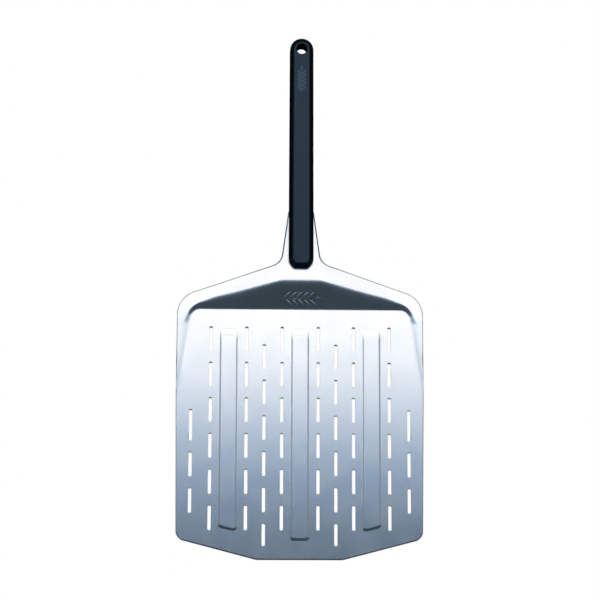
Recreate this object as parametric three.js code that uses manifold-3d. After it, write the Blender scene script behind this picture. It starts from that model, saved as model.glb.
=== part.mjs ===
// Perforated pizza peel: one pressed aluminium sheet, with its neck and tang clamped between two
// moulded handle shells by five screws and threaded inserts.
// Millimetres. +Z is up, +Y runs from the front edge of the blade to the hanging hole.
// Every function below measures Y from the front edge; the last group moves the origin under the
// middle of the whole peel, on the plane it rests on.
import * as THREE from 'three';
import { mergeVertices } from 'three/addons/utils/BufferGeometryUtils.js';
import Module from 'manifold-3d';

const wasm = await Module();
wasm.setup();

// ---------------------------------------------------------------- driving dimensions
const SHEET = 2;                   // thickness of the aluminium
const HALF_WIDTH = 152.5;          // blade, at its widest
const FRONT_HALF_WIDTH = 150.4;    // where the sides meet the front slants
const REAR_HALF_WIDTH = 152.1;     // where the sides meet the shoulders
const NOSE_HALF_WIDTH = 52.5;      // straight middle part of the front edge
const FRONT_SLANT = 25.4;          // how far the front corners lie behind the front edge
const SHOULDER_Y = 320.7;          // corner of side and shoulder
const NECK_ROOT = { x: 24.8, y: 361.5 };
const NECK_END = { x: 15.5, y: 428.5 };
const TANG = { halfWidth: 8, end: 548 };

const NECK_RISE = 20;              // the neck's height above the pan
const PLATEAU_HALF_WIDTH = 24.5;   // level middle part of the raised rim
const RIM_KNEE = { x: 110, rise: 4.8 };
const RIM_VANISHES = 140;          // x at which the falling rim would reach the pan
const SIDE_STRIP = { rise: 1.3, fadesAtY: 200 };
const RAMP_SLOPE = 0.75;           // rise over run of the wall between pan and rim
const RAMP_FOOT_Y = 308;
const WELL_CORNER = { x: 134.2, radius: 12.2 };
const CREASE_LEAN = 0.172;         // the pan's side creases spread by this much per mm of Y

const RIB = { halfWidth: 10, height: 1.2, rear: 278.3, front: 24.8, corner: 3, x: 88 };
const SLOT = { width: 4, length: 30.4, pitch: 43.8, firstRow: 269.8 };
const EDGE_CHAMFER = { width: 1.8, drop: 1.1 };

const HANDLE = { front: 354.4, halfWidth: 15.2, endRadius: 14.6, thickness: 25 };
const CORNER_CUT = { x: 6, y: 8 };
const BEVEL = { width: 5.45, height: 5 };
const HANG_HOLE = { y: 631.4, radius: 6.5 };
const WALL = 3.5;                  // skin left outside the cored pockets
const POCKET_HALF_WIDTH = 8;

const SCREWS_Y = [374, 414, 470, 532, 592];
const SCREW = { headRadius: 3.75, headHeight: 3, shankRadius: 1.95, shankLength: 14 };
const HEX_KEY = { acrossCorners: 2.9, depth: 2 };
const INSERT = { radius: 2.8, bore: 2.15, length: 7 };
const SEAT_Z = 14;                 // where the screw heads bear in the rear shell
const BOSS_HALF = 7;

const CLEARANCE = 0.3;             // between pieces that are assembled face to face

// ---------------------------------------------------------------- values that follow
const NECK_TOP = SHEET + NECK_RISE;
const SPLIT_Z = NECK_TOP - SHEET / 2;
const HANDLE_TOP = SPLIT_Z + HANDLE.thickness / 2;
const HANDLE_BOTTOM = SPLIT_Z - HANDLE.thickness / 2;
const LENGTH = HANG_HOLE.y + HANDLE.endRadius;
const SLANT_SLOPE = FRONT_SLANT / (FRONT_HALF_WIDTH - NOSE_HALF_WIDTH);
const CREASE_END_Y = RAMP_FOOT_Y - (HALF_WIDTH - WELL_CORNER.x) / CREASE_LEAN;

// ---------------------------------------------------------------- helpers
function solid(geometry) {
  const bare = geometry.index ? geometry.toNonIndexed() : geometry.clone();
  bare.deleteAttribute('normal');
  bare.deleteAttribute('uv');
  const merged = mergeVertices(bare, 1e-4);
  const vertProperties = new Float32Array(merged.attributes.position.array);
  const triVerts = new Uint32Array(merged.index.array);
  return new wasm.Manifold(new wasm.Mesh({ numProp: 3, vertProperties, triVerts }));
}

function mesh(name, body, material) {
  const { vertProperties, triVerts } = body.getMesh();
  const geometry = new THREE.BufferGeometry();
  geometry.setAttribute('position', new THREE.BufferAttribute(vertProperties, 3));
  geometry.setIndex(new THREE.BufferAttribute(triVerts, 1));
  const faceted = geometry.toNonIndexed();
  faceted.computeVertexNormals();
  const result = new THREE.Mesh(faceted, material);
  result.name = name;
  return result;
}

function prism(shape, low, high, curveSegments = 8) {
  const options = { depth: high - low, bevelEnabled: false, curveSegments };
  return solid(new THREE.ExtrudeGeometry(shape, options).translate(0, 0, low));
}

function cylinder(radius, low, high, x, y, sides = 24) {
  const geometry = new THREE.CylinderGeometry(radius, radius, high - low, sides);
  return solid(geometry.rotateX(Math.PI / 2).translate(x, y, (low + high) / 2));
}

function box(x0, x1, y0, y1, z0, z1) {
  const geometry = new THREE.BoxGeometry(x1 - x0, y1 - y0, z1 - z0);
  return solid(geometry.translate((x0 + x1) / 2, (y0 + y1) / 2, (z0 + z1) / 2));
}

// A closed outline through [x, y, radius] corners, each rounded with a true arc.
function roundedShape(corners) {
  const shape = new THREE.Shape();
  corners.forEach(([x, y, radius = 0], i) => {
    const here = new THREE.Vector2(x, y);
    const [px, py] = corners.at(i - 1);
    const [nx, ny] = corners[(i + 1) % corners.length];
    const back = new THREE.Vector2(px, py).sub(here).normalize();
    const ahead = new THREE.Vector2(nx, ny).sub(here).normalize();
    const add = (point) => (i === 0 ? shape.moveTo(point.x, point.y) : shape.lineTo(point.x, point.y));
    if (radius === 0) {
      add(here);
      return;
    }
    const halfAngle = Math.acos(THREE.MathUtils.clamp(back.dot(ahead), -1, 1)) / 2;
    const reach = radius / Math.tan(halfAngle);
    const from = here.clone().addScaledVector(back, reach);
    const to = here.clone().addScaledVector(ahead, reach);
    const middle = back.clone().add(ahead).normalize();
    const centre = here.clone().addScaledVector(middle, radius / Math.sin(halfAngle));
    const clockwise = back.cross(ahead) > 0;
    const angle = (point) => Math.atan2(point.y - centre.y, point.x - centre.x);
    add(from);
    shape.absarc(centre.x, centre.y, radius, angle(from), angle(to), clockwise);
  });
  shape.closePath();
  return shape;
}

// The right-hand corners of an outline, followed by their mirror images.
function mirrored(corners) {
  const left = corners.map(([x, y, radius]) => [-x, y, radius]).reverse();
  return roundedShape([...corners, ...left]);
}

// ---------------------------------------------------------------- blade
// Outline of the flat pattern; grow spreads it outwards for the punch that hollows its underside.
function bladeOutline(grow = 0) {
  return mirrored([
    [NOSE_HALF_WIDTH, -grow, 8],
    [FRONT_HALF_WIDTH + grow, FRONT_SLANT - grow, 12.5],
    [HALF_WIDTH + grow, CREASE_END_Y, 0],
    [REAR_HALF_WIDTH + grow, SHOULDER_Y + grow, 30],
    [NECK_ROOT.x + grow, NECK_ROOT.y + grow, 16],
    [NECK_END.x + grow, NECK_END.y + grow, 4],
    [TANG.halfWidth + grow, NECK_END.y + grow, 2],
    [TANG.halfWidth + grow, TANG.end + grow, 3],
  ]);
}

// The rim: level across the neck, falling to both sides, less steeply past a knee.
function rimBlock(low) {
  const section = mirrored([
    [RIM_VANISHES, low, 0],
    [RIM_VANISHES, SHEET, 0],
    [RIM_KNEE.x, SHEET + RIM_KNEE.rise, 0],
    [PLATEAU_HALF_WIDTH, NECK_TOP, 0],
  ]);
  const geometry = new THREE.ExtrudeGeometry(section, { depth: LENGTH, bevelEnabled: false });
  return solid(geometry.rotateX(Math.PI / 2).translate(0, LENGTH, 0));
}

// The strips beside the pan, which sink to its level towards the front.
function stripBlock(low) {
  const { rise, fadesAtY } = SIDE_STRIP;
  const section = roundedShape([
    [0, low],
    [LENGTH, low],
    [LENGTH, SHEET + rise],
    [RAMP_FOOT_Y, SHEET + rise],
    [fadesAtY, SHEET],
    [0, SHEET],
  ]);
  const width = 2 * (HALF_WIDTH + 10);
  const geometry = new THREE.ExtrudeGeometry(section, { depth: width, bevelEnabled: false });
  return solid(geometry.rotateX(Math.PI / 2).rotateZ(Math.PI / 2).translate(-width / 2, 0, 0));
}

// The space above the pan: it widens upwards at the slope of the ramp.
function well() {
  const past = 20;
  const spread = past / CREASE_LEAN;
  const outline = mirrored([
    [WELL_CORNER.x + past + 8, -past, 0],
    [WELL_CORNER.x + past, RAMP_FOOT_Y - spread, 0],
    [WELL_CORNER.x, RAMP_FOOT_Y, WELL_CORNER.radius],
  ]);
  const depth = NECK_RISE + 5;
  const geometry = new THREE.ExtrudeGeometry(outline, {
    depth: 1,
    bevelEnabled: true,
    bevelThickness: depth,
    bevelSize: depth / RAMP_SLOPE,
    bevelSegments: 1,
    curveSegments: 6,
  });
  return solid(geometry.translate(0, 0, SHEET + depth));
}

// One stiffening rib; its front end follows the front edge of the blade.
function rib(x, front, slope) {
  const half = RIB.halfWidth;
  const outline = roundedShape([
    [x - half, front - slope * half, RIB.corner],
    [x + half, front + slope * half, RIB.corner],
    [x + half, RIB.rear, RIB.corner],
    [x - half, RIB.rear, RIB.corner],
  ]);
  const geometry = new THREE.ExtrudeGeometry(outline, {
    depth: SHEET,
    bevelEnabled: true,
    bevelThickness: RIB.height,
    bevelSize: RIB.height,
    bevelOffset: -RIB.height / 2,
    bevelSegments: 1,
    curveSegments: 3,
  });
  return solid(geometry);
}

// Everything under the upper surface of the pressed sheet.
function pressForm(grow) {
  const floor = -20;
  const sideRibFront = RIB.front + SLANT_SLOPE * (RIB.x - NOSE_HALF_WIDTH) + 4;
  return prism(bladeOutline(grow), floor, NECK_TOP + 5)
    .intersect(rimBlock(floor).add(stripBlock(floor)))
    .subtract(well())
    .add(rib(0, RIB.front, 0))
    .add(rib(RIB.x, sideRibFront, SLANT_SLOPE))
    .add(rib(-RIB.x, sideRibFront, -SLANT_SLOPE));
}

// Every slot as { x, low, high }: staggered columns on both sides of the middle rib.
function slotPlaces() {
  const places = [];
  const column = (x, first, rows) => rows.forEach((row) => {
    const centre = first - row * SLOT.pitch;
    places.push({ x, low: centre - SLOT.length / 2, high: centre + SLOT.length / 2 });
  });
  const staggered = SLOT.firstRow - SLOT.pitch / 2;
  for (const side of [-1, 1]) {
    for (const x of [22.3, 65.9, 110]) column(side * x, SLOT.firstRow, [0, 1, 2, 3, 4, 5]);
    column(side * 44.1, staggered, [0, 1, 2, 3, 4, 5]);
    places.at(-1).low += 3.2;
    column(side * 133.9, staggered - 1, [2, 3, 4]);
    places.at(-3).high += 8;
  }
  return places;
}

function slotCutter({ x, low, high }) {
  const r = SLOT.width / 2;
  const outline = new THREE.Shape();
  outline.absarc(x, high - r, r, 0, Math.PI, false);
  outline.absarc(x, low + r, r, Math.PI, 2 * Math.PI, false);
  outline.closePath();
  return prism(outline, -1, NECK_TOP, 5);
}

// Thins the upper side of the front edge, along the nose and both slants.
function frontChamfer() {
  const slantLength = Math.hypot(FRONT_HALF_WIDTH - NOSE_HALF_WIDTH, FRONT_SLANT);
  const lean = Math.atan(SLANT_SLOPE);
  const wedge = (length) => {
    const section = new THREE.Shape();
    section.moveTo(-1, SHEET + 1);
    section.lineTo(-1, SHEET - EDGE_CHAMFER.drop * (1 + 1 / EDGE_CHAMFER.width));
    section.lineTo(EDGE_CHAMFER.width * (1 + 1 / EDGE_CHAMFER.drop), SHEET + 1);
    section.closePath();
    const geometry = new THREE.ExtrudeGeometry(section, { depth: length, bevelEnabled: false });
    // The section's own x is the distance in from the edge, its y is height, its length runs along X.
    return geometry.rotateX(Math.PI / 2).rotateZ(Math.PI / 2).translate(length, 0, 0);
  };
  const nose = solid(wedge(2 * NOSE_HALF_WIDTH + 1).translate(-NOSE_HALF_WIDTH - 0.5, 0, 0));
  const right = solid(wedge(slantLength - 5).rotateZ(lean).translate(NOSE_HALF_WIDTH, 0, 0));
  const left = solid(wedge(slantLength - 5).translate(5 - slantLength, 0, 0).rotateZ(-lean)
    .translate(-NOSE_HALF_WIDTH, 0, 0));
  return nose.add(right).add(left);
}

function blade() {
  let body = pressForm(0).subtract(pressForm(1).translate(0, 0, -SHEET));
  body = body.subtract(frontChamfer());
  for (const place of slotPlaces()) body = body.subtract(slotCutter(place));
  for (const y of SCREWS_Y) {
    if (y < TANG.end) body = body.subtract(cylinder(SCREW.shankRadius + 0.35, 10, 30, 0, y, 16));
  }
  return body;
}

// ---------------------------------------------------------------- handle shells
function handleOutline() {
  const { front, halfWidth, endRadius } = HANDLE;
  const outline = new THREE.Shape();
  outline.moveTo(-halfWidth + CORNER_CUT.x, front);
  outline.lineTo(halfWidth - CORNER_CUT.x, front);
  outline.lineTo(halfWidth, front + CORNER_CUT.y);
  outline.lineTo(endRadius, HANG_HOLE.y);
  outline.absarc(0, HANG_HOLE.y, endRadius, 0, Math.PI, false);
  outline.lineTo(-halfWidth, front + CORNER_CUT.y);
  outline.closePath();
  return outline;
}

// The bar both shells are cut from: bevelled all round at its top and bottom faces.
function handleBar() {
  const geometry = new THREE.ExtrudeGeometry(handleOutline(), {
    depth: HANDLE.thickness - 2 * BEVEL.height,
    bevelEnabled: true,
    bevelThickness: BEVEL.height,
    bevelSize: BEVEL.width,
    bevelOffset: -BEVEL.width,
    bevelSegments: 1,
    curveSegments: 16,
  });
  return solid(geometry.translate(0, 0, HANDLE_BOTTOM + BEVEL.height));
}

// Lengths along Y that are cored out: one between each screw boss and the next.
function pocketSpans() {
  return SCREWS_Y.slice(1).map((y, i) => [SCREWS_Y[i] + BOSS_HALF, y - BOSS_HALF]);
}

// Cuts shared by both shells: the seat of neck and tang, the pockets and the hanging hole.
function hollowed(shell, pocketLow, pocketHigh) {
  let body = shell
    .subtract(prism(bladeOutline(CLEARANCE), NECK_TOP - SHEET - CLEARANCE, NECK_TOP + CLEARANCE))
    .subtract(cylinder(HANG_HOLE.radius, 0, 50, 0, HANG_HOLE.y, 40));
  for (const [low, high] of pocketSpans()) {
    body = body.subtract(box(-POCKET_HALF_WIDTH, POCKET_HALF_WIDTH, low, high, pocketLow, pocketHigh));
  }
  return body;
}

function frontShell() {
  const half = box(-50, 50, 0, LENGTH + 10, SPLIT_Z + CLEARANCE / 2, HANDLE_TOP + 1);
  let body = hollowed(handleBar().intersect(half), SPLIT_Z, HANDLE_TOP - WALL);
  const boreTop = NECK_TOP + CLEARANCE + INSERT.length + 1;
  for (const y of SCREWS_Y) {
    body = body.subtract(cylinder(INSERT.radius + CLEARANCE / 2, SPLIT_Z, boreTop, 0, y, 20));
  }
  return body;
}

function rearShell() {
  const half = box(-50, 50, 0, LENGTH + 10, HANDLE_BOTTOM - 1, SPLIT_Z - CLEARANCE / 2);
  let body = hollowed(handleBar().intersect(half), HANDLE_BOTTOM + WALL, SPLIT_Z);
  for (const y of SCREWS_Y) {
    body = body
      .subtract(cylinder(SCREW.headRadius + 0.45, HANDLE_BOTTOM - 1, SEAT_Z, 0, y, 28))
      .subtract(cylinder(SCREW.shankRadius + 0.3, SEAT_Z - 1, SPLIT_Z + 1, 0, y, 16));
  }
  return body;
}

// ---------------------------------------------------------------- fasteners
// Cap screw entered from the rear face: its head bears on the seat and its shank points up.
function screw(y) {
  const { headRadius, headHeight, shankRadius, shankLength } = SCREW;
  const bearing = SEAT_Z - 0.05;
  const profile = [
    [0, bearing - headHeight],
    [headRadius - 0.4, bearing - headHeight],
    [headRadius, bearing - headHeight + 0.4],
    [headRadius, bearing],
    [shankRadius, bearing],
    [shankRadius, bearing + shankLength - 0.6],
    [shankRadius - 0.6, bearing + shankLength],
    [0, bearing + shankLength],
  ].map(([r, z]) => new THREE.Vector2(r, z));
  const turned = solid(new THREE.LatheGeometry(profile, 20).rotateX(Math.PI / 2));
  const socketDepth = bearing - headHeight + HEX_KEY.depth;
  const socket = cylinder(HEX_KEY.acrossCorners / 2, bearing - headHeight - 1, socketDepth, 0, 0, 6);
  return turned.subtract(socket).translate(0, y, 0);
}

function insert(y) {
  const low = NECK_TOP + CLEARANCE;
  const ring = cylinder(INSERT.radius, low, low + INSERT.length, 0, y, 20);
  return ring.subtract(cylinder(INSERT.bore, low - 1, low + INSERT.length + 1, 0, y, 20));
}

// ---------------------------------------------------------------- materials and assembly
function finish(color, roughness, metalness) {
  return new THREE.MeshStandardMaterial({ color, roughness, metalness });
}

const anodised = () => finish(0xc9ced6, 0.38, 1);
const nylon = () => finish(0x15181d, 0.55, 0);
const steel = () => finish(0x8d9094, 0.35, 1);
const brass = () => finish(0xb5924c, 0.4, 1);

const peel = new THREE.Group();
peel.position.y = -LENGTH / 2;
peel.add(mesh('blade', blade(), anodised()));
peel.add(mesh('handle_front_shell', frontShell(), nylon()));
peel.add(mesh('handle_rear_shell', rearShell(), nylon()));
SCREWS_Y.forEach((y, i) => {
  peel.add(mesh(`handle_screw_${i + 1}`, screw(y), steel()));
  peel.add(mesh(`threaded_insert_${i + 1}`, insert(y), brass()));
});

export default peel;
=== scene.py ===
import math

import bmesh
import bpy
import numpy as np
from mathutils import Matrix, Vector
from mathutils.geometry import delaunay_2d_cdt
from mathutils.kdtree import KDTree

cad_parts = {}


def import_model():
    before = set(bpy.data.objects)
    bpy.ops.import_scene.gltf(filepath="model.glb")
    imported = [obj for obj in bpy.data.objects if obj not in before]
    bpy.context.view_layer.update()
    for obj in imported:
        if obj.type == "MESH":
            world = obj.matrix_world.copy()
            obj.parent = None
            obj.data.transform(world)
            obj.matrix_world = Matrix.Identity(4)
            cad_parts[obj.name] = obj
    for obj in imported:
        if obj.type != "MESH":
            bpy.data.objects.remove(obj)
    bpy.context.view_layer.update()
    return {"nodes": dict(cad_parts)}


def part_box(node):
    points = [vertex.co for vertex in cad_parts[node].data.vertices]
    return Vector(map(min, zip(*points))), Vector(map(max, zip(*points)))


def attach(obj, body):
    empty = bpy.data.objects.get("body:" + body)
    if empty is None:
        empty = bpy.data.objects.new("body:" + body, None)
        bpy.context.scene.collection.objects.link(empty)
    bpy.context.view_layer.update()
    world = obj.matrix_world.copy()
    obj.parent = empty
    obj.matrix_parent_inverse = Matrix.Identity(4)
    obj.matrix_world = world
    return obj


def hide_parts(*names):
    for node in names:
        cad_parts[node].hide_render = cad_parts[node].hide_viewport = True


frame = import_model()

# ---------------------------------------------------------------- dimensions read from the frame
BLADE_LOW, BLADE_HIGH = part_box("blade")
FRONT_LOW, FRONT_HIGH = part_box("handle_front_shell")
REAR_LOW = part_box("handle_rear_shell")[0]
FRONT_EDGE = BLADE_LOW.y
TANG_END = BLADE_HIGH.y - FRONT_EDGE
HANDLE_FRONT = FRONT_LOW.y - FRONT_EDGE
HANDLE_END = FRONT_HIGH.y - FRONT_EDGE
HANDLE_TOP = FRONT_HIGH.z
HANDLE_BOTTOM = REAR_LOW.z
SCREW_NAMES = [f"handle_screw_{i}" for i in range(1, 6)]
INSERT_NAMES = [f"threaded_insert_{i}" for i in range(1, 6)]


def middle_of(node):
    low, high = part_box(node)
    return (low + high) / 2


SCREWS_ALONG = [middle_of(name).y - FRONT_EDGE for name in SCREW_NAMES]

# ---------------------------------------------------------------- driving dimensions of the blade
SHEET = 0.002
HALF_WIDTH = BLADE_HIGH.x
FRONT_HALF_WIDTH = HALF_WIDTH - 0.0021
REAR_HALF_WIDTH = HALF_WIDTH - 0.0004
NOSE_HALF_WIDTH = 0.0525
FRONT_SLANT = 0.0254
SHOULDER_ALONG = 0.3215
NECK_ROOT = (0.0248, 0.3623)
NECK_END = (0.0155, 0.4285)
TANG_HALF_WIDTH = 0.008
NECK_TOP = BLADE_HIGH.z
RISE = NECK_TOP - SHEET
PLATEAU_HALF_WIDTH = 0.0245
RIM_VANISHES = 0.130
KNEE_ACROSS = 0.103                # past here the rim falls less steeply
KNEE_RISE = 0.0056
KNEE_SLOPE = 0.135
STRIP_RISE = 0.0013                # how far the side strips stand above the pan at the shoulders
STRIP_FADES = 0.200                # where they have come down to the pan
RAMP_SLOPE = 0.75
SIDE_SLOPE = 0.24                  # the ramp is gentler beside the pan
SLOPE_CHANGES = 0.020              # length over which the one slope turns into the other
RAMP_FOOT = 0.3080
WELL_CORNER = 0.1342
WELL_RADIUS = 0.0122
CREASE_ANGLE = math.atan(0.172)
FOOT_BEND = 0.0020                 # half the width of the bend at the foot of the ramp
TOP_BEND = 0.0056                  # how deep the bend cuts the corner at the top of the ramp
STRIP_BLEND = 0.0015               # how softly the falling rim turns into the strips
RIM_BEND = 0.005                   # half the width of the bend between level and falling rim
SLANT_SLOPE = FRONT_SLANT / (FRONT_HALF_WIDTH - NOSE_HALF_WIDTH)

RIB_HALF_WIDTH = 0.010
RIB_HEIGHT = 0.0012
RIB_REAR = 0.2783
RIB_FRONT = 0.0248
RIB_CORNER = 0.003
SIDE_RIB_SETBACK = 0.004           # how much further back the side ribs start, beyond the slant
RIB_ACROSS = 0.088
RIB_BEND = 0.0018                  # half the width of a rib's sloping side
RIB_FADE = 0.007                   # half the length over which a rib sinks away at its rear end

SLOT_HALF_WIDTH = 0.002
SLOT_LENGTH = 0.0304
SLOT_PITCH = 0.0438
FIRST_SLOT_ROW = 0.2698
SLOT_COLUMNS = (0.0223, 0.0659, 0.1100)
STAGGERED_COLUMN = 0.0441          # its slots lie half a pitch further forward
STAGGERED_SHORTER = 0.0032         # its front slot is this much shorter
OUTER_COLUMN = 0.1339
OUTER_SHIFT = 0.001                # its slots lie this much further forward still
OUTER_LONGER = 0.008               # its rear slot is this much longer

SPRIG_LENGTH = 0.052               # ear of wheat embossed on the ramp
SPRIG_ALONG = RAMP_FOOT + 0.0105
SPRIG_HEIGHT = 0.0010
SPRIG_STEM = 0.72                  # height of its stem, as a share of the height of its grains
SPRIG_EDGE = 0.0008

EDGE_ROUND = 0.0013                # radius of the upper rim round the blade
NECK_EDGE = (0.350, 0.370)         # between these the round edge turns into the sloping edge of the neck
NECK_EDGE_WIDTH = 1.38 * EDGE_ROUND
NECK_EDGE_DEPTH = 1.25 * EDGE_ROUND
SLOT_ROUND = 0.00025
SLOT_LIP_FRONT = 0.0007            # length of the sloping lip at the rear end of the front slots
SLOT_LIP_REAR = 0.0017             # and of the rear ones
LIP_GROWS = (0.066, 0.285)         # slot ends between which the lip grows
LIP_STEEPNESS = 0.88
EDGE_LAND = 0.0002                 # least height of the upright wall left at an edge
CHAMFER_WIDTH = 0.0018             # thinned front edge
CHAMFER_DROP = 0.0011
CHAMFER_LEAN = math.atan(CHAMFER_DROP / CHAMFER_WIDTH)
CHAMFER_END = FRONT_SLANT + 0.004
CHAMFER_RUNOUT = 0.006
UNDER_ROUND = 0.0003               # how far the lower rim is drawn up

# ---------------------------------------------------------------- spacing of the blade's mesh
OUTLINE_STEP = 0.004
LONG_STEP = 0.005                  # along the straight sides of the slots and ribs
SLOT_END_SIDES = 16
BEND_STEP = 0.0035                 # along the foot and the top of the ramp
SPRIG_STEP = 0.00045
SPRIG_MARGIN = 0.0025              # how far its grid reaches past both ends of the sprig
SPRIG_GRID_HALF_WIDTH = 0.0078
SHEET_STEP = 0.006
SHEET_GRID_HALF_WIDTH = 0.15
CLEAR_OF_SPRIG = 0.0008            # the nearest that other points come to the sprig's grid
CLEAR_OF_EDGES = 0.0011            # and that shaped points come to the edges
CLEAR_OF_SHAPED = 0.0028           # and that the plain grid comes to all the others
RAMP_SIDE = 0.095                  # how far the ramp is followed beside the pan

# ---------------------------------------------------------------- driving dimensions of the handle
HANDLE_HALF_WIDTH = FRONT_HIGH.x
HANDLE_END_RADIUS = 0.0146
HANG_ALONG = HANDLE_END - HANDLE_END_RADIUS
CORNER_CUT = 0.006                 # how far across the front corners are cut off
CORNER_END = FRONT_EDGE + HANDLE_FRONT + 0.010
BEVEL_HEIGHT = 0.005               # of the slanting bevels beside each flat face
EDGE_FILLET = 0.0009
CORNER_FILLET = 0.0026             # setback of the rounding of the upright corner edges

# ---------------------------------------------------------------- fasteners
HEAD_RADIUS = 0.00375
HEAD_HEIGHT = 0.003
HEAD_GROOVES = 48
HEAD_GROOVE_DEPTH = 0.00012
SHANK_RADIUS = 0.00195
HEX_APOTHEM = 0.00126              # half the hexagon's width across its flats
SOCKET_DEPTH = 0.002
THREAD_PITCH = 0.0007
THREAD_DEPTH = 0.0004
INSERT_BORE = 0.00215              # radius
SCREW_HOLE = 0.0023                # radius of the holes in the tang
HOLE_ROUND = 0.0002
HOLE_SIDES = 20
END_FLAT = 0.0002                  # radius of the small flat in the middle of a screw's ends
KNURL_PITCH = 0.0009
KNURL_DEPTH = 0.0003

# ---------------------------------------------------------------- finishes
ALUMINIUM = (0.86, 0.87, 0.88, 1)
STEEL = (0.56, 0.57, 0.58, 1)
BRASS = (0.71, 0.52, 0.24, 1)
NYLON = (0.003, 0.004, 0.006, 1)
NYLON_GLOSS = (0.45, 0.71, 1.0, 1)
ALUMINIUM_ROUGHNESS = (0.235, 0.265)
NYLON_ROUGHNESS = (0.35, 0.41)
PRINT = (0.075, 0.105, 0.125, 1)
PRINT_LENGTH = 0.036
PRINT_Y = HANG_ALONG + FRONT_EDGE - 0.040
PRINT_REACH = 0.0005               # how far below the face the print is still seen

# ---------------------------------------------------------------- camera and light
CAMERA_HEIGHT = 2.0657
CAMERA_ALONG = 0.0042
CAMERA_TILT = math.radians(8.664)
CAMERA_YAW = math.radians(-1.987)
CAMERA_ROLL = math.radians(0.476)
CAMERA_ACROSS = -0.0728
LENS = 101.13
LIGHT_HEIGHT = 2.4
LIGHT_HALF_WIDTH = 2.0
SIDE_BOX_CENTRE = (3.2, 0.9, 1.9)
SIDE_BOX_LENGTH = 2.2
SIDE_BOX_WIDTH = 1.4
SIDE_RADIANCE = (0.32, 0.36, 0.44)
HORIZON_DARK = 0.02                # upward part of the directions between which the world lights up
HORIZON_LIT = 0.20
SURROUND = 2.5                     # how much more light there is low down at the sides and back
REARWARD_RANGE = (-0.75, -0.35)    # rearward part of the directions between which it sets in
UPWARD_RANGE = (0.60, 0.42)        # upward part of the directions between which it sets in
WORLD_RADIANCE = (0.0395, 0.056, 0.074)
SOFTBOXES = [                      # name, nearest and furthest distance from the front edge, radiance
    ("key_softbox", 0.45, 0.88, (1.73, 1.67, 1.60)),
    ("rear_softbox", 1.10, 1.95, (1.70, 1.72, 1.75)),
    ("front_glow", 0.18, 0.45, (0.03, 0.25, 0.56)),
]
FLOOR_HALF_WIDTH = 9
FLOOR_GAP = 0.0004                 # below the peel


# ---------------------------------------------------------------- outlines
def rounded_loop(corners, step):
    """A closed loop of points through (across, along, radius) corners, each rounded with an arc."""
    loop = []
    count = len(corners)
    for i, (x, y, radius) in enumerate(corners):
        here = Vector((x, y))
        back = (Vector(corners[i - 1][:2]) - here).normalized()
        ahead = (Vector(corners[(i + 1) % count][:2]) - here).normalized()
        if radius == 0:
            loop.append(here)
            continue
        half = back.angle(ahead) / 2
        centre = here + (back + ahead).normalized() * (radius / math.sin(half))
        start = here + back * (radius / math.tan(half)) - centre
        turn = math.pi - 2 * half
        turn *= math.copysign(1, back.x * ahead.y - back.y * ahead.x) * -1
        pieces = max(3, math.ceil(abs(turn) / math.radians(step)))
        for n in range(pieces + 1):
            spin = Matrix.Rotation(turn * n / pieces, 2)
            loop.append(centre + spin @ start)
    return loop


def mirrored_corners(corners):
    """Right-hand corners, followed by their mirror images."""
    return corners + [(-x, y, radius) for x, y, radius in reversed(corners)]


def spaced(loop, gap):
    """The closed loop with points added so that none are further apart than gap.

    A row may hold more than its point's two coordinates: the rest is interpolated with them.
    """
    rows = np.array(loop)
    result = []
    for here, ahead in zip(rows, np.roll(rows, -1, axis=0)):
        pieces = max(1, math.ceil(math.dist(here[:2], ahead[:2]) / gap))
        result.extend(here + (ahead - here) * n / pieces for n in range(pieces))
    return np.array(result)


def outward_normals(loop):
    """Unit vectors pointing out of a loop that runs anticlockwise, at each of its points."""
    ahead = np.roll(loop, -1, axis=0) - loop
    ahead /= np.linalg.norm(ahead, axis=1)[:, None]
    tangent = ahead + np.roll(ahead, 1, axis=0)
    tangent /= np.linalg.norm(tangent, axis=1)[:, None]
    return np.column_stack([tangent[:, 1], -tangent[:, 0]])


def blade_outline():
    corners = mirrored_corners([
        (NOSE_HALF_WIDTH, 0, 0.008),
        (FRONT_HALF_WIDTH, FRONT_SLANT, 0.0125),
        (HALF_WIDTH, RAMP_FOOT - (HALF_WIDTH - WELL_CORNER) / math.tan(CREASE_ANGLE), 0.05),
        (REAR_HALF_WIDTH, SHOULDER_ALONG, 0.030),
        (*NECK_ROOT, 0.016),
        (*NECK_END, 0.004),
        (TANG_HALF_WIDTH, NECK_END[1], 0.002),
        (TANG_HALF_WIDTH, TANG_END, 0.003),
    ])
    return spaced(rounded_loop(corners, 4), OUTLINE_STEP)


def slot_places():
    """(across, low, high) of every slot: staggered columns on both sides of the middle rib."""
    places = []

    def column(across, first, rows, shorter_front=0.0, longer_rear=0.0):
        for row in rows:
            centre = first - row * SLOT_PITCH
            low = centre - SLOT_LENGTH / 2 + (shorter_front if row == rows[-1] else 0)
            high = centre + SLOT_LENGTH / 2 + (longer_rear if row == rows[0] else 0)
            places.append((across, low, high))

    staggered = FIRST_SLOT_ROW - SLOT_PITCH / 2
    for side in (-1, 1):
        for across in SLOT_COLUMNS:
            column(side * across, FIRST_SLOT_ROW, range(6))
        column(side * STAGGERED_COLUMN, staggered, range(6), shorter_front=STAGGERED_SHORTER)
        column(side * OUTER_COLUMN, staggered - OUTER_SHIFT, range(2, 5), longer_rear=OUTER_LONGER)
    return places


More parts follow.
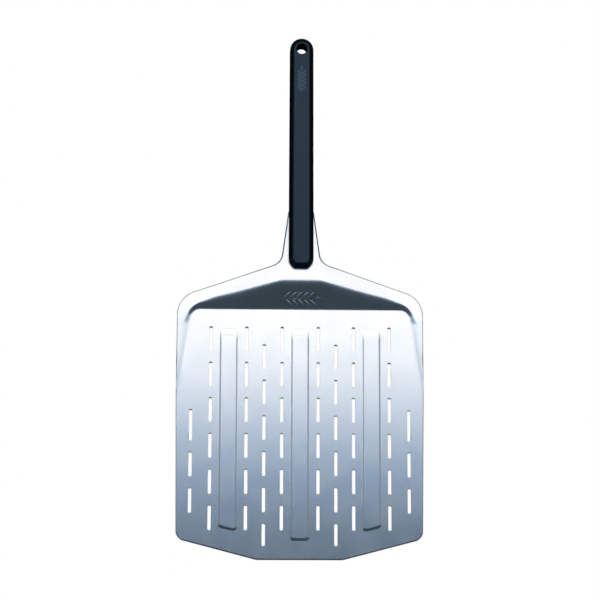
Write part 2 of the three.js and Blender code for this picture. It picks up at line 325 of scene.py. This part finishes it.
def slot_loops(across, low, high):
    """Matching loops of one slot: its opening, and where the sheet around it is still level.

    Also how deep the edge goes, and how much it is a straight slope instead of a rounding.
    """
    lip = np.interp(high, LIP_GROWS, (SLOT_LIP_FRONT, SLOT_LIP_REAR))
    rows = []
    for centre, start in ((high - SLOT_HALF_WIDTH, 0), (low + SLOT_HALF_WIDTH, math.pi)):
        for n in range(SLOT_END_SIDES + 1):
            angle = start + math.pi * n / SLOT_END_SIDES
            rear = max(0, math.sin(angle))
            out = np.array([math.cos(angle), math.sin(angle)])
            opening = (across, centre - lip * rear) + out * SLOT_HALF_WIDTH
            level = (across, centre) + out * (SLOT_HALF_WIDTH + SLOT_ROUND)
            rows.append([*opening, *level, SLOT_ROUND + LIP_STEEPNESS * lip * rear, rear])
    rows = spaced(rows, LONG_STEP)
    return rows[:, 0:2], rows[:, 2:4], rows[:, 4], rows[:, 5]


def circle_loop(centre, radius, sides):
    angles = np.arange(sides) * (2 * math.pi / sides)
    return np.array(centre) + radius * np.column_stack([np.cos(angles), np.sin(angles)])


# ---------------------------------------------------------------- the pressed surface
def smooth(x):
    """0 below 0, 1 above 1, and a smooth curve between."""
    x = np.clip(x, 0, 1)
    return x ** 2 * (3 - 2 * x)


def soft_min(a, b, blend):
    """The lesser of two values, with a smooth curve where they are closer than blend."""
    closeness = np.clip(blend - np.abs(a - b), 0, None)
    return np.minimum(a, b) - closeness ** 2 / (4 * blend)


def soft_ramp(x, half_width):
    """0 below -half_width, x above half_width, and a smooth curve between."""
    middle = (x + half_width) ** 2 / (4 * half_width)
    return np.where(x < -half_width, 0, np.where(x > half_width, x, middle))


def ramp_distance(across, along):
    """Distance outwards from the line where the pan ends, rounded at its two corners."""
    half_turn = (math.pi / 2 - CREASE_ANGLE) / 2
    reach = WELL_RADIUS * math.tan(half_turn)
    x = np.abs(across) - (WELL_CORNER - reach)
    y = along - (RAMP_FOOT - WELL_RADIUS)
    sin, cos = math.sin(CREASE_ANGLE), math.cos(CREASE_ANGLE)
    in_corner = (x > 0) & (y * cos - x * sin > 0)
    straight = np.maximum(y, x * cos + y * sin)
    return np.where(in_corner, np.hypot(x, y), straight) - WELL_RADIUS


def rim_height(across, along):
    """Height of the raised rim above the pan: level at the neck, falling to the side strips."""
    fall = RISE / (RIM_VANISHES - PLATEAU_HALF_WIDTH)
    shoulder = RISE - fall * soft_ramp(np.abs(across) - PLATEAU_HALF_WIDTH, RIM_BEND)
    outer = KNEE_RISE - KNEE_SLOPE * (np.abs(across) - KNEE_ACROSS)
    strip = STRIP_RISE * np.clip((along - STRIP_FADES) / (RAMP_FOOT - STRIP_FADES), 0, 1)
    falling = soft_min(-shoulder, -outer, STRIP_BLEND)
    return -soft_min(falling, -strip, STRIP_BLEND)


def ramp_slope(along):
    """Slope of the ramp: full from its foot at the rear of the pan onwards, gentler beside the pan."""
    return SIDE_SLOPE + (RAMP_SLOPE - SIDE_SLOPE) * smooth(1 + (along - RAMP_FOOT) / SLOPE_CHANGES)


def rib_places():
    """(across, front end, slope of the front end) of the three ribs."""
    side_front = RIB_FRONT + SLANT_SLOPE * (RIB_ACROSS - NOSE_HALF_WIDTH) + SIDE_RIB_SETBACK
    yield 0.0, RIB_FRONT, 0.0
    yield RIB_ACROSS, side_front, SLANT_SLOPE
    yield -RIB_ACROSS, side_front, -SLANT_SLOPE


def rib_distance(across, along, place):
    """Signed distance from a rib's sides and its slanted front end, round at the corners."""
    middle, front, slope = place
    reach = RIB_HALF_WIDTH - RIB_CORNER
    stretch = math.hypot(1, slope)
    lean = slope * np.sign(across - middle)
    x = np.abs(across - middle) - reach
    y = front + lean * reach + RIB_CORNER * stretch - along
    in_corner = (y > 0) & (x > lean * y)
    straight = np.maximum(x, (y + lean * x) / stretch)
    return np.where(in_corner, np.hypot(x, y), straight) - RIB_CORNER


def sprig_leaves(length):
    """(x, y, lean, half length, half width) of the parts of an ear of wheat lying along x."""
    leaves = [(-0.08 * length, 0, 0, 0.42 * length, 0.012 * length)]
    leaves.append((0.42 * length, 0, 0, 0.10 * length, 0.034 * length))
    for pair in range(5):
        for side in (-1, 1):
            x = (0.27 - 0.142 * pair) * length
            y = side * 0.078 * length
            leaves.append((x, y, side * math.radians(38), 0.105 * length, 0.034 * length))
    return leaves


def sprig_height(across, along):
    """How far the embossed ear of wheat stands out of the ramp."""
    height = 0
    for x, y, lean, half_length, half_width in sprig_leaves(SPRIG_LENGTH):
        dx = across - x
        dy = along - SPRIG_ALONG - y
        u = (dx * math.cos(lean) + dy * math.sin(lean)) / half_length
        v = (dy * math.cos(lean) - dx * math.sin(lean)) / half_width
        outside = (np.hypot(u, v) - 1) * half_width
        share = 1 if lean else SPRIG_STEM
        height = np.maximum(height, share * smooth(0.5 - outside / (2 * SPRIG_EDGE)))
    return SPRIG_HEIGHT * height


def pressed_height(across, along):
    """Height of the upper face above the plane the peel rests on, before its edges are rounded."""
    rim = rim_height(across, along)
    ramp = ramp_slope(along) * soft_ramp(ramp_distance(across, along), FOOT_BEND)
    height = SHEET + soft_min(rim, ramp, np.clip(rim, 0.0002, TOP_BEND))
    for place in rib_places():
        side = smooth(0.5 - rib_distance(across, along, place) / (2 * RIB_BEND))
        height = height + RIB_HEIGHT * side * smooth(0.5 - (along - RIB_REAR) / (2 * RIB_FADE))
    return height + sprig_height(across, along)


def pressed_slope(across, along):
    """Slopes of the upper face, across and along."""
    tiny = 2e-5
    dx = pressed_height(across + tiny, along) - pressed_height(across - tiny, along)
    dy = pressed_height(across, along + tiny) - pressed_height(across, along - tiny)
    return dx / (2 * tiny), dy / (2 * tiny)


# ---------------------------------------------------------------- points of the blade's mesh
ROUND_ROWS = [math.radians(a) for a in (90, 62, 36, 14, 0)]


class Rows:
    """Points of the sheet, with how far each is let down and tilted where an edge is rounded."""

    def __init__(self):
        self.points = []
        self.drop = []
        self.tilt = []
        self.loops = []

    def add(self, points, drop=0.0, tilt=None):
        count = len(points)
        first = sum(len(block) for block in self.points)
        self.points.append(np.asarray(points, dtype=float))
        self.drop.append(np.broadcast_to(drop, count))
        self.tilt.append(np.zeros((count, 2)) if tilt is None else tilt)
        return range(first, first + count)

    def edge(self, brink, level, depth, straight=0.0, chamfer=0.0):
        """Rows that round an edge over, from level sheet down to its brink, depth lower.

        brink and level are matching loops of points. straight (0 to 1) makes the edge a plain slope
        instead of a rounding, and chamfer (0 to 1) thins it.
        """
        reach = np.linalg.norm(level - brink, axis=1)
        downhill = (brink - level) / reach[:, None]
        chamfer = np.broadcast_to(chamfer, len(brink))
        blunt = 1 - 0.7 * chamfer
        last = len(ROUND_ROWS) - 1
        for row, angle in enumerate(ROUND_ROWS):
            lean = np.arctan2(depth * math.sin(angle), reach * math.cos(angle))
            inset = reach * blunt * (1 - math.sin(angle))
            rounding = 1 - math.cos(angle)
            down = depth * blunt * (rounding + (math.sin(angle) - rounding) * straight)
            if 0 < row < last:
                lean = lean + (np.arctan2(depth, reach) - lean) * straight
            if row == last:
                inset = inset + (CHAMFER_WIDTH - inset) * chamfer
            else:
                upper_half = angle < math.pi / 4
                lean = lean + (CHAMFER_LEAN - lean) * chamfer * upper_half
                down = down + chamfer * (CHAMFER_DROP - inset * math.tan(CHAMFER_LEAN))
            indices = self.add(brink - downhill * inset[:, None], down, downhill * np.sin(lean)[:, None])
            if row == 0:
                self.loops.append(list(indices))


def ramp_line(step):
    """Points and outward normals along the foot of the ramp, right half, from middle to side edge."""
    half_turn = (math.pi / 2 - CREASE_ANGLE) / 2
    reach = WELL_RADIUS * math.tan(half_turn)
    corner = np.array([WELL_CORNER - reach, RAMP_FOOT - WELL_RADIUS])
    points = [(x, RAMP_FOOT) for x in np.arange(0, corner[0], step)]
    normals = [(0.0, 1.0)] * len(points)
    for n in range(13):
        angle = math.pi / 2 - (math.pi / 2 - CREASE_ANGLE) * n / 12
        normals.append((math.cos(angle), math.sin(angle)))
        points.append(tuple(corner + WELL_RADIUS * np.array(normals[-1])))
    down = np.array([math.sin(CREASE_ANGLE), -math.cos(CREASE_ANGLE)])
    last = np.array(points[-1])
    for n in range(1, int(RAMP_SIDE / step)):
        points.append(tuple(last + down * step * n))
        normals.append(normals[-1])
    return np.array(points), np.array(normals)


def bend_points():
    """Rows of points along the foot and the top of the ramp, both halves."""
    foot, normal = ramp_line(BEND_STEP)
    rows = [foot + normal * part * FOOT_BEND for part in np.linspace(-1.1, 1.1, 7)]
    crest = np.full(len(foot), RISE / RAMP_SLOPE)
    for _ in range(20):
        across, along = (foot + normal * crest[:, None]).T
        crest = (crest + rim_height(across, along) / ramp_slope(along)) / 2
    reach = np.clip(crest, 0.0003, TOP_BEND / RAMP_SLOPE)
    for part in np.linspace(-0.95, 1.1, 12):
        rows.append(foot + normal * (crest + part * reach)[:, None])
    right = np.vstack(rows)
    right = right[right[:, 0] > 0.001]
    middle = np.array([(0.0, row[0, 1]) for row in rows])
    return np.vstack([right, right * [-1, 1], middle])


def rib_points():
    """Rows of points round the sides and front of each rib, and across its fading rear end."""
    blocks = []
    rear = RIB_REAR + RIB_FADE
    for middle, front, slope in rib_places():
        for offset in np.linspace(-1.1, 1.1, 6) * RIB_BEND:
            half = RIB_HALF_WIDTH + offset
            corners = [
                (middle + half, front + slope * half - offset, RIB_CORNER + offset),
                (middle + half, rear, 0),
                (middle - half, rear, 0),
                (middle - half, front - slope * half - offset, RIB_CORNER + offset),
            ]
            blocks.append(spaced(rounded_loop(corners, 12), LONG_STEP))
        for along in RIB_REAR + np.linspace(-1, 1, 8) * RIB_FADE:
            blocks.append([(middle + across, along) for across in np.linspace(-0.008, 0.008, 6)])
    return np.vstack(blocks)


def sprig_points():
    """A fine grid over the embossed sprig."""
    half = SPRIG_LENGTH / 2 + SPRIG_MARGIN
    across = np.arange(-half, half, SPRIG_STEP)
    low, high = SPRIG_ALONG - SPRIG_GRID_HALF_WIDTH, SPRIG_ALONG + SPRIG_GRID_HALF_WIDTH
    along = np.arange(low, high, SPRIG_STEP)
    return np.array([(x, y) for y in along for x in across])


def sheet_points():
    """A grid of even triangles over the whole sheet."""
    gap = SHEET_STEP
    columns = np.arange(-SHEET_GRID_HALF_WIDTH, SHEET_GRID_HALF_WIDTH + gap / 2, gap)
    points = []
    for row, y in enumerate(np.arange(gap / 2, TANG_END, gap * 0.866)):
        points += [(x, y) for x in columns + (gap / 2) * (row % 2)]
    return np.array(points)


def inside(points, loop):
    """Which of the points lie inside a closed loop."""
    x, y = np.asarray(points).T
    result = np.zeros(len(x), dtype=bool)
    for i, (x1, y1) in enumerate(loop):
        x0, y0 = loop[i - 1]
        if y0 == y1:
            continue
        crossing = x0 + (y - y0) * (x1 - x0) / (y1 - y0)
        result ^= ((y0 > y) != (y1 > y)) & (x < crossing)
    return result


def far_from(points, obstacles, clear):
    """The points that are further than clear from every obstacle."""
    tree = KDTree(len(obstacles))
    for i, (x, y) in enumerate(obstacles):
        tree.insert((x, y, 0), i)
    tree.balance()
    return np.array([p for p in points if tree.find((p[0], p[1], 0))[2] > clear])


# ---------------------------------------------------------------- the blade
def blade_rows():
    """Every point of the sheet: its edges first, then its bends, then a plain grid between them."""
    rows = Rows()
    outline = blade_outline()
    along = outline[:, 1]
    neck = np.interp(along, NECK_EDGE, (0, 1))
    front = np.clip((CHAMFER_END - along) / CHAMFER_RUNOUT, 0, 1)
    width = EDGE_ROUND + (NECK_EDGE_WIDTH - EDGE_ROUND) * neck
    depth = EDGE_ROUND + (NECK_EDGE_DEPTH - EDGE_ROUND) * neck
    rows.edge(outline, outline - outward_normals(outline) * width[:, None], depth, neck, front)
    for place in slot_places():
        rows.edge(*slot_loops(*place))
    for screw in SCREWS_ALONG:
        if screw < TANG_END:
            hole = circle_loop((0, screw), SCREW_HOLE, HOLE_SIDES)
            around = circle_loop((0, screw), SCREW_HOLE + HOLE_ROUND, HOLE_SIDES)
            rows.edge(hole, around, np.full(HOLE_SIDES, HOLE_ROUND))
    edges = np.vstack(rows.points)
    sprig = sprig_points()
    bends = far_from(np.vstack([bend_points(), rib_points()]), sprig, CLEAR_OF_SPRIG)
    shaped = far_from(np.vstack([bends, sprig]), edges, CLEAR_OF_EDGES)
    shaped = shaped[inside(shaped, outline)]
    rows.add(shaped)
    filler = far_from(sheet_points(), np.vstack([edges, shaped]), CLEAR_OF_SHAPED)
    rows.add(filler[inside(filler, outline)])
    return rows


def joined(rows):
    """Triangles between the points of the sheet, leaving out its openings.

    Also which of the rows' points each point of the triangles is.
    """
    flat = np.vstack(rows.points)
    brinks = [(a, loop[(i + 1) % len(loop)]) for loop in rows.loops for i, a in enumerate(loop)]
    whole_hull = 0
    _, _, faces, sources, _, _ = delaunay_2d_cdt(
        [Vector(p) for p in flat], brinks, [], whole_hull, 1e-7, True)
    source = np.array([s[0] for s in sources])
    loop_of_point = -1 - np.arange(len(flat))      # a number of its own for a point on no loop
    for number, loop in enumerate(rows.loops):
        loop_of_point[loop] = number
    loop_of_point = loop_of_point[source]
    faces = [f for f in faces if not loop_of_point[f[0]] == loop_of_point[f[1]] == loop_of_point[f[2]]]
    return faces, source


def unit(vectors):
    return vectors / np.linalg.norm(vectors, axis=1)[:, None]


def blade_mesh():
    """Points, faces and normals of the whole blade: upper face, underside, and the wall between."""
    rows = blade_rows()
    faces, source = joined(rows)
    x, y = np.vstack(rows.points)[source].T
    drop = np.concatenate(rows.drop)[source]
    tilt = np.vstack(rows.tilt)[source]

    dx, dy = pressed_slope(x, y)
    steep = np.hypot(1, np.hypot(dx, dy))
    top = pressed_height(x, y)
    square = np.column_stack([-dx / steep, -dy / steep, 1 / steep])
    lean = np.linalg.norm(tilt, axis=1)[:, None]
    at_brink = lean > 0.98             # the outermost points of every edge, tilted right over
    normal = unit(square * np.sqrt(1 - np.clip(lean, 0, 1) ** 2) + np.column_stack([tilt, 0 * x]))
    under_normal = unit(np.where(at_brink, normal - square, -square))
    under = top - SHEET * steep + np.where(at_brink[:, 0], UNDER_ROUND, 0)
    under = np.minimum(under, top - drop - EDGE_LAND)
    upper_face = np.column_stack([x, y + FRONT_EDGE, top - drop])
    underside = np.column_stack([x, y + FRONT_EDGE, under])

    count = len(source)
    sides = {(a, b) for face in faces for a, b in zip(face, face[1:] + face[:1])}
    all_faces = [tuple(face) for face in faces]
    all_faces += [tuple(i + count for i in reversed(face)) for face in faces]
    all_faces += [(b, a, a + count, b + count) for a, b in sorted(sides) if (b, a) not in sides]
    return np.vstack([upper_face, underside]), all_faces, np.vstack([normal, under_normal])


def new_object(name, points, faces, normals=None):
    mesh = bpy.data.meshes.new(name)
    mesh.from_pydata([tuple(p) for p in points], [], faces)
    mesh.validate()
    mesh.shade_smooth()
    if normals is not None:
        mesh.normals_split_custom_set_from_vertices([tuple(n) for n in normals])
    made = bpy.data.objects.new(name, mesh)
    bpy.context.scene.collection.objects.link(made)
    return made


# ---------------------------------------------------------------- the handle shells
def shell(name, node, face, shoulder):
    """A copy of a CAD shell with its front corners rounded, and its edges at two heights filleted."""
    mesh = frame["nodes"][node].data.copy()
    mesh.name = name
    body = bmesh.new()
    body.from_mesh(mesh)
    bmesh.ops.remove_doubles(body, verts=body.verts, dist=1e-6)
    bmesh.ops.dissolve_limit(body, angle_limit=math.radians(1), verts=body.verts, edges=body.edges)

    def at_corner(vert):
        return abs(vert.co.x) > HANDLE_HALF_WIDTH - 1.1 * CORNER_CUT and vert.co.y < CORNER_END

    def at_height(vert):
        return min(abs(vert.co.z - face), abs(vert.co.z - shoulder)) < 1e-5

    def upright(edge):
        return abs(edge.verts[0].co.z - edge.verts[1].co.z) > 0.002

    def fillet(chosen, setback):
        sharp = [edge for edge in body.edges if edge.calc_face_angle(0) > 0.3 and chosen(edge)]
        bmesh.ops.bevel(body, geom=sharp, offset=setback, segments=3, profile=0.5, affect="EDGES",
                        clamp_overlap=True)

    fillet(lambda edge: upright(edge) and all(map(at_corner, edge.verts)), CORNER_FILLET)
    fillet(lambda edge: all(map(at_height, edge.verts)), EDGE_FILLET)
    bmesh.ops.triangulate(body, faces=[face for face in body.faces if len(face.verts) > 4])
    body.to_mesh(mesh)
    body.free()
    mesh.materials.clear()
    mesh.shade_smooth()
    mesh.set_sharp_from_angle(angle=math.radians(28))
    made = bpy.data.objects.new(name, mesh)
    bpy.context.scene.collection.objects.link(made)
    weighted = made.modifiers.new("face_weighted_shading", "WEIGHTED_NORMAL")
    weighted.keep_sharp = True
    return made


# ---------------------------------------------------------------- screws and inserts
def turned(name, node, rings, sides, hollow=False):
    """An object of rings about a node's middle, from (radius at an angle, height) pairs.

    A hollow one closes on itself, its last ring joined to its first; else fans close its two ends.
    """
    middle = middle_of(node)
    points = []
    for radius, height in rings:
        for n in range(sides):
            angle = 2 * math.pi * n / sides
            r = radius(angle)
            points.append((r * math.cos(angle) + middle.x, r * math.sin(angle) + middle.y, height))
    faces = []
    for row in range(len(rings) - 1):
        for n in range(sides):
            a, b = row * sides + n, row * sides + (n + 1) % sides
            faces.append((a, b, b + sides, a + sides))
    last = (len(rings) - 1) * sides
    if hollow:
        faces += [(last + n, last + (n + 1) % sides, (n + 1) % sides, n) for n in range(sides)]
    else:
        faces.append(tuple(range(sides))[::-1])
        faces.append(tuple(range(last, last + sides)))
    made = new_object(name, points, faces)
    made.data.set_sharp_from_angle(angle=math.radians(35))
    return made


def constant(radius):
    """The same radius at every angle."""
    return lambda angle: radius


def cap_screw(name, node):
    """Socket cap screw, head down: hexagon socket, knurled head, and a threaded shank."""
    low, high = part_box(node)
    bearing = low.z + HEAD_HEIGHT

    def hexagon(angle):
        return HEX_APOTHEM / math.cos(angle % (math.pi / 3) - math.pi / 6)

    def knurled(angle):
        return HEAD_RADIUS - HEAD_GROOVE_DEPTH * abs(math.sin(HEAD_GROOVES / 2 * angle))

    def thread(height):
        return lambda angle: SHANK_RADIUS - THREAD_DEPTH * abs(
            2 * ((height / THREAD_PITCH - angle / (2 * math.pi)) % 1) - 1)

    rings = [
        (constant(END_FLAT), low.z + SOCKET_DEPTH + 0.0004),
        (hexagon, low.z + SOCKET_DEPTH),
        (hexagon, low.z + 0.0003),
        (constant(HEX_APOTHEM * 1.24), low.z),
        (constant(HEAD_RADIUS - 0.0006), low.z),
        (constant(HEAD_RADIUS - 0.0002), low.z + 0.0002),
        (knurled, low.z + 0.0006),
        (knurled, bearing - 0.0003),
        (constant(HEAD_RADIUS - 0.0002), bearing),
        (constant(SHANK_RADIUS), bearing),
    ]
    start, end = bearing + 0.0015, high.z - 0.0006
    steps = math.ceil((end - start) / (THREAD_PITCH / 6))
    for n in range(steps + 1):
        height = start + (end - start) * n / steps
        rings.append((thread(height), height))
    rings += [(constant(SHANK_RADIUS - 0.0006), high.z), (constant(END_FLAT), high.z)]
    return turned(name, node, rings, 96)


def knurled_insert(name, node):
    """Brass insert with two bands of crossing knurls and a grooved waist."""
    low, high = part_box(node)
    outer = (high.x - low.x) / 2
    length = high.z - low.z

    def band(height):
        def radius(angle):
            along = (height - low.z) / KNURL_PITCH
            one = abs((18 * angle / math.pi + along) % 1 - 0.5)
            other = abs((18 * angle / math.pi - along) % 1 - 0.5)
            return outer - KNURL_DEPTH * (one + other)
        return radius

    rings = [(constant(INSERT_BORE), high.z), (constant(INSERT_BORE), low.z)]
    rings.append((constant(outer - 0.0003), low.z))
    for start, end in ((0.06, 0.42), (0.58, 0.94)):
        for n in range(9):
            height = low.z + length * (start + (end - start) * n / 8)
            rings.append((band(height), height))
        if end < 0.5:
            rings += [(constant(outer - 0.0006), low.z + length * part) for part in (0.45, 0.55)]
    rings.append((constant(outer - 0.0003), high.z))
    return turned(name, node, rings, 72, hollow=True)


# ---------------------------------------------------------------- materials
def new_material(name):
    material = bpy.data.materials.new(name)
    material.use_nodes = True
    nodes = material.node_tree.nodes
    return material, nodes, material.node_tree.links, nodes["Principled BSDF"]


def mapped(nodes, links, source, start, end, low, high):
    """The source, taken from start..end to low..high and held there."""
    spread = nodes.new("ShaderNodeMapRange")
    spread.inputs["From Min"].default_value = start
    spread.inputs["From Max"].default_value = end
    spread.inputs["To Min"].default_value = low
    spread.inputs["To Max"].default_value = high
    links.new(source, spread.inputs["Value"])
    return spread.outputs[0]


def calculated(nodes, links, operation, *sources):
    """The outcome of a sum done on one or two sources."""
    result = nodes.new("ShaderNodeMath")
    result.operation = operation
    for source, socket in zip(sources, result.inputs):
        links.new(source, socket)
    return result.outputs[0]


def grain(nodes, links, size, detail=2.0):
    """Noise over the object's own coordinates, with features of about the given size."""
    place = nodes.new("ShaderNodeTexCoord")
    noise = nodes.new("ShaderNodeTexNoise")
    noise.inputs["Scale"].default_value = 1 / size
    noise.inputs["Detail"].default_value = detail
    links.new(place.outputs["Object"], noise.inputs["Vector"])
    return noise.outputs["Fac"]


def roughened(nodes, links, shader, source, low, high):
    """Let the roughness follow the source, between low and high."""
    links.new(mapped(nodes, links, source, 0.3, 0.7, low, high), shader.inputs["Roughness"])


def bumped(nodes, links, shader, source, height):
    """A bump in the shading that follows the source, of the given height."""
    bump = nodes.new("ShaderNodeBump")
    bump.inputs["Distance"].default_value = height
    links.new(source, bump.inputs["Height"])
    links.new(bump.outputs[0], shader.inputs["Normal"])


def satin_aluminium():
    """Blasted and anodised sheet: a fine even grain, and faint clouds in its gloss."""
    material, nodes, links, shader = new_material("anodised_aluminium")
    shader.inputs["Base Color"].default_value = ALUMINIUM
    shader.inputs["Metallic"].default_value = 1
    roughened(nodes, links, shader, grain(nodes, links, 0.030), *ALUMINIUM_ROUGHNESS)
    bumped(nodes, links, shader, grain(nodes, links, 0.0006), 0.000004)
    return material


def leaf_mask(nodes, links, coordinates, leaf):
    """1 inside one leaf of the printed sprig, 0 outside it and off the handle's front face."""
    x, y, lean, half_length, half_width = leaf
    place = nodes.new("ShaderNodeMapping")
    place.vector_type = "TEXTURE"
    place.inputs["Location"].default_value = (-y, PRINT_Y + x, HANDLE_TOP)
    place.inputs["Rotation"].default_value = (0, 0, math.pi / 2 + lean)
    place.inputs["Scale"].default_value = (half_length, half_width, PRINT_REACH)
    links.new(coordinates, place.inputs["Vector"])
    length = nodes.new("ShaderNodeVectorMath")
    length.operation = "LENGTH"
    links.new(place.outputs[0], length.inputs[0])
    return mapped(nodes, links, length.outputs["Value"], 1.1, 0.9, 0, 1)


def sprig_mask(nodes, links):
    """1 inside the printed ear of wheat, 0 outside it."""
    coordinates = nodes.new("ShaderNodeTexCoord").outputs["Object"]
    masks = [leaf_mask(nodes, links, coordinates, leaf) for leaf in sprig_leaves(PRINT_LENGTH)]
    total = masks[0]
    for mask in masks[1:]:
        total = calculated(nodes, links, "MAXIMUM", total, mask)
    return total


def black_nylon(name, printed):
    """Glass-filled nylon with a fine spark-eroded texture; the front shell carries a small print."""
    material, nodes, links, shader = new_material(name)
    shader.inputs["Base Color"].default_value = NYLON
    shader.inputs["Specular IOR Level"].default_value = 0.68
    shader.inputs["Specular Tint"].default_value = NYLON_GLOSS
    roughened(nodes, links, shader, grain(nodes, links, 0.012), *NYLON_ROUGHNESS)
    bumped(nodes, links, shader, grain(nodes, links, 0.0007, 3.0), 0.00002)
    if printed:
        ink = nodes.new("ShaderNodeMix")
        ink.data_type = "RGBA"
        ink.inputs["A"].default_value = NYLON
        ink.inputs["B"].default_value = PRINT
        links.new(sprig_mask(nodes, links), ink.inputs["Factor"])
        links.new(ink.outputs["Result"], shader.inputs["Base Color"])
    return material


def machined_metal(name, color, roughness):
    """Bright metal with a slight tarnish and a very fine grain."""
    material, nodes, links, shader = new_material(name)
    shader.inputs["Base Color"].default_value = color
    shader.inputs["Metallic"].default_value = 1
    roughened(nodes, links, shader, grain(nodes, links, 0.0015), roughness - 0.06, roughness + 0.06)
    bumped(nodes, links, shader, grain(nodes, links, 0.00012), 0.000003)
    return material


def paint(thing, material):
    thing.data.materials.clear()
    thing.data.materials.append(material)


# ---------------------------------------------------------------- stage, light and camera
def panel(name, width, length, radiance):
    """A rectangular light of even radiance, unseen by the camera."""
    strongest = max(radiance)
    data = bpy.data.lights.new(name, "AREA")
    data.shape = "RECTANGLE"
    data.size = width
    data.size_y = length
    data.energy = strongest * math.pi * width * length
    data.color = [channel / strongest for channel in radiance]
    light = bpy.data.objects.new(name, data)
    light.visible_camera = False
    bpy.context.scene.collection.objects.link(light)
    return light


def softbox(name, near, far, radiance):
    """A panel facing straight down at LIGHT_HEIGHT, between two distances from the front edge."""
    light = panel(name, 2 * LIGHT_HALF_WIDTH, far - near, radiance)
    light.location = (0, FRONT_EDGE + (near + far) / 2, LIGHT_HEIGHT)


def side_softbox(name, side):
    """A panel beside the peel, leaning in over it."""
    light = panel(name, SIDE_BOX_LENGTH, SIDE_BOX_WIDTH, SIDE_RADIANCE)
    across, along, height = SIDE_BOX_CENTRE
    centre = Vector((side * across, FRONT_EDGE + along, height))
    facing = Vector((0, centre.y, 0)) - centre
    light.matrix_world = Matrix.Translation(centre) @ facing.to_track_quat("-Z", "X").to_matrix().to_4x4()


def stage_floor():
    """A white floor that shows in no reflection and lights nothing."""
    r = FLOOR_HALF_WIDTH
    floor = new_object("studio_floor", [(-r, -r, 0), (r, -r, 0), (r, r, 0), (-r, r, 0)], [(0, 1, 2, 3)])
    floor.location.z = -FLOOR_GAP
    material = bpy.data.materials.new("studio_floor")
    material.use_nodes = True
    nodes, links = material.node_tree.nodes, material.node_tree.links
    nodes.clear()
    glow = nodes.new("ShaderNodeEmission")
    glow.inputs["Color"].default_value = (1, 1, 1, 1)
    glow.inputs["Strength"].default_value = 1.0
    out = nodes.new("ShaderNodeOutputMaterial")
    links.new(glow.outputs[0], out.inputs[0])
    paint(floor, material)
    floor.visible_glossy = False
    floor.visible_diffuse = False


def world(radiance):
    """Dim bluish light from above, behind which the camera sees a plain white backdrop.

    It is stronger low down at the sides and the back, so that those views of the peel aren't dark.
    """
    made = bpy.data.worlds.new("studio")
    made.use_nodes = True
    nodes, links = made.node_tree.nodes, made.node_tree.links
    light = nodes["Background"]
    light.inputs["Color"].default_value = (*radiance, 1)
    direction = nodes.new("ShaderNodeTexCoord")
    upwards = nodes.new("ShaderNodeSeparateXYZ")
    links.new(direction.outputs["Generated"], upwards.inputs[0])
    height = upwards.outputs["Z"]
    plain = mapped(nodes, links, height, HORIZON_DARK, HORIZON_LIT, 0, 1)
    around = mapped(nodes, links, upwards.outputs["Y"], *REARWARD_RANGE, 0, SURROUND)
    low_down = mapped(nodes, links, height, *UPWARD_RANGE, 0, 1)
    extra = calculated(nodes, links, "MULTIPLY", around, low_down)
    boosted = calculated(nodes, links, "MULTIPLY", extra, plain)
    links.new(calculated(nodes, links, "ADD", plain, boosted), light.inputs["Strength"])
    backdrop = nodes.new("ShaderNodeBackground")
    backdrop.inputs["Color"].default_value = (1, 1, 1, 1)
    ray = nodes.new("ShaderNodeLightPath")
    mix = nodes.new("ShaderNodeMixShader")
    links.new(ray.outputs["Is Camera Ray"], mix.inputs["Fac"])
    links.new(light.outputs[0], mix.inputs[1])
    links.new(backdrop.outputs[0], mix.inputs[2])
    links.new(mix.outputs[0], nodes["World Output"].inputs["Surface"])
    bpy.context.scene.world = made


def camera():
    """A camera above the front edge of the blade, at the photograph's viewing angle."""
    data = bpy.data.cameras.new("camera")
    data.lens = LENS
    data.sensor_width = 36
    made = bpy.data.objects.new("camera", data)
    made.location = (CAMERA_ACROSS, FRONT_EDGE + CAMERA_ALONG, CAMERA_HEIGHT)
    made.rotation_euler = (CAMERA_TILT, 0, 0)
    made.rotation_euler.rotate_axis("Y", CAMERA_YAW)
    made.rotation_euler.rotate_axis("Z", CAMERA_ROLL)
    bpy.context.scene.collection.objects.link(made)
    bpy.context.scene.camera = made


# ---------------------------------------------------------------- build
aluminium = satin_aluminium()
nylon = black_nylon("handle_nylon", False)
printed_nylon = black_nylon("handle_nylon_printed", True)
steel = machined_metal("screw_steel", STEEL, 0.28)
brass = machined_metal("insert_brass", BRASS, 0.32)


def place(piece, node, material, slot):
    """Give a piece its material, hide the piece of the CAD model it takes the place of, and hang it on
    the root body.
    """
    paint(piece, material)
    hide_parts(node)
    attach(piece, "root")


blade = new_object("pressed_blade", *blade_mesh())
place(blade, "blade", aluminium, "anodised_aluminium")
front = shell("front_grip_shell", "handle_front_shell", HANDLE_TOP, HANDLE_TOP - BEVEL_HEIGHT)
place(front, "handle_front_shell", printed_nylon, "handle_nylon")
rear = shell("rear_grip_shell", "handle_rear_shell", HANDLE_BOTTOM, HANDLE_BOTTOM + BEVEL_HEIGHT)
place(rear, "handle_rear_shell", nylon, "handle_nylon")
for number, (screw, insert) in enumerate(zip(SCREW_NAMES, INSERT_NAMES), 1):
    place(cap_screw(f"cap_screw_{number}", screw), screw, steel, "screw_steel")
    place(knurled_insert(f"knurled_insert_{number}", insert), insert, brass, "insert_brass")

stage_floor()
world(WORLD_RADIANCE)
for softbox_name, near, far, radiance in SOFTBOXES:
    softbox(softbox_name, near, far, radiance)
side_softbox("left_softbox", -1)
side_softbox("right_softbox", 1)
camera()
scene = bpy.context.scene
scene.view_settings.view_transform = "Standard"
